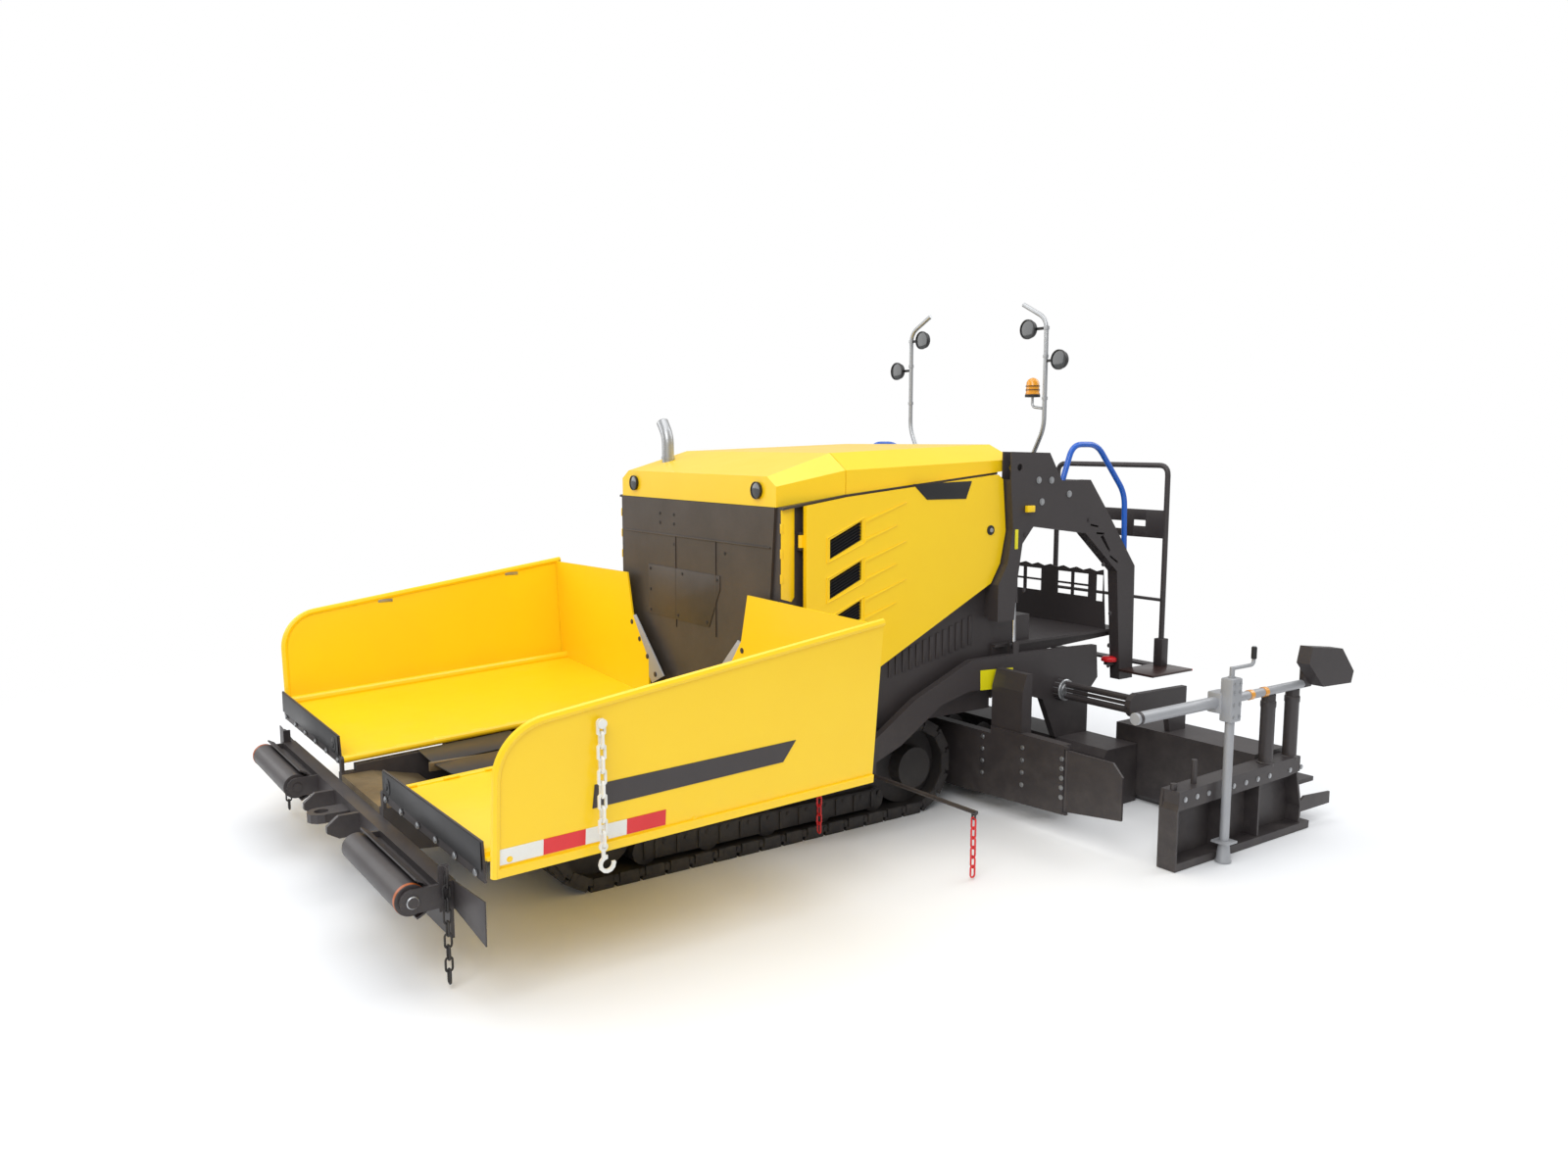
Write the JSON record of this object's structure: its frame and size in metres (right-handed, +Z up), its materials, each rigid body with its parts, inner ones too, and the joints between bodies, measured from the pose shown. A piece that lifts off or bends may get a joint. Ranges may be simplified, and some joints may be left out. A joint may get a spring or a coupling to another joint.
{
  "type": "asphalt paver",
  "caption": "Tracked asphalt paver with folding hopper wings, conveyor tunnel, augers and an extending screed on tow arms raised by two cylinders.",
  "frame": {"origin": "centre of the machine's bounding box in plan, at ground level under the tracks", "axes": "+Z up, -Y towards the front (hopper and push rollers), +X towards the machine's left side"},
  "size_m": [4.308, 4.732, 2.8065],
  "materials": {
    "yellow_paint": "gloss",
    "charcoal_steel": "satin",
    "track_steel": "matte",
    "bare_steel": "worn",
    "dark_chain": "matte",
    "cast_block": "matte",
    "shield_plate": "satin",
    "bright_pipe": "satin",
    "red_chain": "gloss",
    "blue_tube": "gloss",
    "lamp_black": "gloss",
    "amber_lens": "gloss",
    "white_chain": "satin",
    "auger_iron": "worn",
    "rod_chrome": "polished"
  },
  "bodies": {
    "tractor": {"main_frame": "charcoal_steel", "undercarriage": "charcoal_steel", "track_left": "track_steel", "track_right": "track_steel", "conveyor": "bare_steel", "front_apron": "bare_steel", "push_beam": "charcoal_steel", "front_chains": "dark_chain", "engine_house": "charcoal_steel", "engine_block": "cast_block", "heat_shield": "shield_plate", "hood_front": "yellow_paint", "hood_rear": "yellow_paint", "exhaust_stack": "bright_pipe", "tow_brackets": "charcoal_steel", "marker_chains": "red_chain", "gantries": "charcoal_steel", "platform": "charcoal_steel", "grab_rails": "blue_tube", "rear_step": "charcoal_steel", "masts": "bright_pipe", "work_lamps": "lamp_black", "beacon": "amber_lens", "auger_frame": "charcoal_steel"},
    "wing_left": {"wing_left": "yellow_paint", "wing_board_left": "charcoal_steel", "wing_chain": "white_chain"},
    "wing_right": {"wing_right": "yellow_paint", "wing_board_right": "charcoal_steel"},
    "push_roller_left": {"push_roller_left": "charcoal_steel"},
    "push_roller_right": {"push_roller_right": "charcoal_steel"},
    "auger_left": {"auger_left": "auger_iron"},
    "auger_right": {"auger_right": "auger_iron"},
    "side_door_left": {"side_door_left": "yellow_paint"},
    "side_door_right": {"side_door_right": "yellow_paint"},
    "flap_left": {"flap_left": "charcoal_steel"},
    "flap_right": {"flap_right": "charcoal_steel"},
    "screed": {"tow_arms": "charcoal_steel", "screed": "charcoal_steel"},
    "extension_left": {"extension_left": "charcoal_steel", "sensor_arm_left": "bright_pipe"},
    "extension_right": {"extension_right": "charcoal_steel", "sensor_arm_right": "bright_pipe"},
    "lift_barrel_left": {"lift_barrel_left": "charcoal_steel"},
    "lift_barrel_right": {"lift_barrel_right": "charcoal_steel"},
    "lift_rod_left": {"lift_rod_left": "rod_chrome"},
    "lift_rod_right": {"lift_rod_right": "rod_chrome"}
  },
  "joints": [
    {"name": "wing_fold_left", "type": "hinge", "parent": "tractor", "child": "wing_left", "pos_m": [0.33, -2.116, 0.5], "axis": [0, -0.9987, -0.0506], "range_deg": [0, 45]},
    {"name": "push_roller_spin_left", "type": "hinge", "parent": "tractor", "child": "push_roller_left", "pos_m": [0.863, -2.294, 0.355], "axis": [1, 0, 0], "continuous": true},
    {"name": "auger_spin_left", "type": "hinge", "parent": "tractor", "child": "auger_left", "pos_m": [0.6, 1.186, 0.25], "axis": [1, 0, 0], "continuous": true},
    {"name": "side_door_swing_left", "type": "hinge", "parent": "tractor", "child": "side_door_left", "pos_m": [0.822, -0.268, 1.28], "axis": [0, 0, -1], "range_deg": [0, 90]},
    {"name": "flap_swing_left", "type": "hinge", "parent": "tractor", "child": "flap_left", "pos_m": [1.445, 0.942, 0.28], "axis": [0, 0, -1], "range_deg": [0, 90]},
    {"name": "wing_fold_right", "type": "hinge", "parent": "tractor", "child": "wing_right", "pos_m": [-0.33, -2.116, 0.5], "axis": [0, 0.9987, 0.0506], "range_deg": [0, 45]},
    {"name": "push_roller_spin_right", "type": "hinge", "parent": "tractor", "child": "push_roller_right", "pos_m": [-0.863, -2.294, 0.355], "axis": [1, 0, 0], "continuous": true},
    {"name": "auger_spin_right", "type": "hinge", "parent": "tractor", "child": "auger_right", "pos_m": [-0.6, 1.186, 0.25], "axis": [1, 0, 0], "continuous": true},
    {"name": "side_door_swing_right", "type": "hinge", "parent": "tractor", "child": "side_door_right", "pos_m": [-0.822, -0.268, 1.28], "axis": [0, 0, 1], "range_deg": [0, 90]},
    {"name": "flap_swing_right", "type": "hinge", "parent": "tractor", "child": "flap_right", "pos_m": [-1.445, 0.942, 0.28], "axis": [0, 0, 1], "range_deg": [0, 90]},
    {"name": "screed_lift", "type": "hinge", "parent": "tractor", "child": "screed", "pos_m": [0, 0.096, 0.43], "axis": [1, 0, 0], "range_deg": [0, 5]},
    {"name": "extension_slide_left", "type": "slide", "parent": "screed", "child": "extension_left", "axis": [1, 0, 0], "range_m": [-0.45, 0]},
    {"name": "lift_barrel_swing_left", "type": "hinge", "parent": "tractor", "child": "lift_barrel_left", "pos_m": [0.872, 1.126, 1.65], "axis": [1, 0, 0], "range_deg": [-3.57, 0]},
    {"name": "lift_rod_slide_left", "type": "slide", "parent": "lift_barrel_left", "child": "lift_rod_left", "axis": [0, 0.0225, -0.9997], "range_m": [-0.091, 0]},
    {"name": "extension_slide_right", "type": "slide", "parent": "screed", "child": "extension_right", "axis": [-1, 0, 0], "range_m": [-0.45, 0]},
    {"name": "lift_barrel_swing_right", "type": "hinge", "parent": "tractor", "child": "lift_barrel_right", "pos_m": [-0.872, 1.126, 1.65], "axis": [1, 0, 0], "range_deg": [-3.57, 0]},
    {"name": "lift_rod_slide_right", "type": "slide", "parent": "lift_barrel_right", "child": "lift_rod_right", "axis": [0, 0.0225, -0.9997], "range_m": [-0.091, 0]}
  ],
  "couplings": [
    {"joint": "lift_barrel_swing_left", "follows": "screed_lift", "ratio": -0.7034},
    {"joint": "lift_rod_slide_left", "follows": "screed_lift", "m_per_rad": -1.0271},
    {"joint": "lift_barrel_swing_right", "follows": "screed_lift", "ratio": -0.7034},
    {"joint": "lift_rod_slide_right", "follows": "screed_lift", "m_per_rad": -1.0271}
  ]
}
